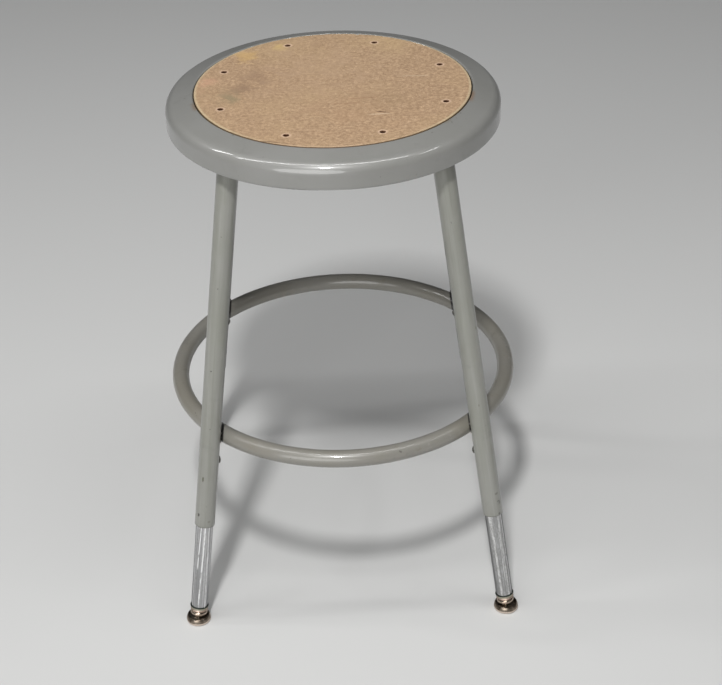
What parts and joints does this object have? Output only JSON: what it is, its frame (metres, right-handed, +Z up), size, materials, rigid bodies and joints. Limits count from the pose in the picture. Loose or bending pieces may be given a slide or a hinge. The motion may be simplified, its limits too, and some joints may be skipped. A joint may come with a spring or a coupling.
{
  "type": "adjustable shop stool",
  "caption": "Round shop stool with a hardboard seat in a steel pan, splayed tube legs that extend in steps, a foot ring and swivel glides.",
  "frame": {"origin": "on the floor under the middle of the seat", "axes": "+Z up along the seat's axis; the legs stand at 45 degrees to +X and +Y"},
  "size_m": [0.3965, 0.3964, 0.5767],
  "materials": {
    "pan_paint": "satin grey enamel, worn",
    "hardboard": "sealed tempered hardboard, scuffed",
    "rivet_brown": "dark oxidised steel",
    "spider_paint": "satin grey enamel",
    "weld": "painted weld bead",
    "leg_paint": "satin grey enamel",
    "ring_paint": "grey enamel rubbed warm by feet",
    "screw_zinc": "zinc plated",
    "leg_zinc": "dulled bright zinc plating",
    "collar_nickel": "tarnished nickel",
    "stem_nickel": "tarnished nickel",
    "glide_nickel": "tarnished, partly rusted nickel"
  },
  "bodies": {
    "frame": {"seat_pan": "pan_paint", "seat_board": "hardboard", "board_rivets": "rivet_brown", "leg_spider": "spider_paint", "leg_welds": "weld", "upper_leg_front_left": "leg_paint", "upper_leg_front_right": "leg_paint", "upper_leg_rear_right": "leg_paint", "upper_leg_rear_left": "leg_paint", "foot_ring": "ring_paint", "ring_welds": "weld", "lock_screws": "screw_zinc"},
    "leg_front_left": {"lower_leg_front_left": "leg_zinc", "glide_insert_front_left": "collar_nickel", "glide_stem_front_left": "stem_nickel"},
    "leg_front_right": {"lower_leg_front_right": "leg_zinc", "glide_insert_front_right": "collar_nickel", "glide_stem_front_right": "stem_nickel"},
    "leg_rear_right": {"lower_leg_rear_right": "leg_zinc", "glide_insert_rear_right": "collar_nickel", "glide_stem_rear_right": "stem_nickel"},
    "leg_rear_left": {"lower_leg_rear_left": "leg_zinc", "glide_insert_rear_left": "collar_nickel", "glide_stem_rear_left": "stem_nickel"},
    "glide_front_left": {"glide_base_front_left": "glide_nickel"},
    "glide_front_right": {"glide_base_front_right": "glide_nickel"},
    "glide_rear_right": {"glide_base_rear_right": "glide_nickel"},
    "glide_rear_left": {"glide_base_rear_left": "glide_nickel"}
  },
  "joints": [
    {"name": "extend_front_left", "type": "slide", "parent": "frame", "child": "leg_front_left", "axis": [-0.1242, -0.1242, -0.9844], "range_m": [-0.0762, 0.0762]},
    {"name": "extend_front_right", "type": "slide", "parent": "frame", "child": "leg_front_right", "axis": [0.1242, -0.1242, -0.9844], "range_m": [-0.0762, 0.0762]},
    {"name": "extend_rear_right", "type": "slide", "parent": "frame", "child": "leg_rear_right", "axis": [0.1242, 0.1242, -0.9844], "range_m": [-0.0762, 0.0762]},
    {"name": "extend_rear_left", "type": "slide", "parent": "frame", "child": "leg_rear_left", "axis": [-0.1242, 0.1242, -0.9844], "range_m": [-0.0762, 0.0762]},
    {"name": "tilt_front_left", "type": "hinge", "parent": "leg_front_left", "child": "glide_front_left", "pos_m": [-0.17664, -0.17664, 0.0046], "axis": [0.7071, -0.7071, 0], "range_deg": [-24.1, 3.9]},
    {"name": "tilt_front_right", "type": "hinge", "parent": "leg_front_right", "child": "glide_front_right", "pos_m": [0.17664, -0.17664, 0.0046], "axis": [0.7071, 0.7071, 0], "range_deg": [-24.1, 3.9]},
    {"name": "tilt_rear_right", "type": "hinge", "parent": "leg_rear_right", "child": "glide_rear_right", "pos_m": [0.17664, 0.17664, 0.0046], "axis": [-0.7071, 0.7071, 0], "range_deg": [-24.1, 3.9]},
    {"name": "tilt_rear_left", "type": "hinge", "parent": "leg_rear_left", "child": "glide_rear_left", "pos_m": [-0.17664, 0.17664, 0.0046], "axis": [-0.7071, -0.7071, 0], "range_deg": [-24.1, 3.9]}
  ]
}
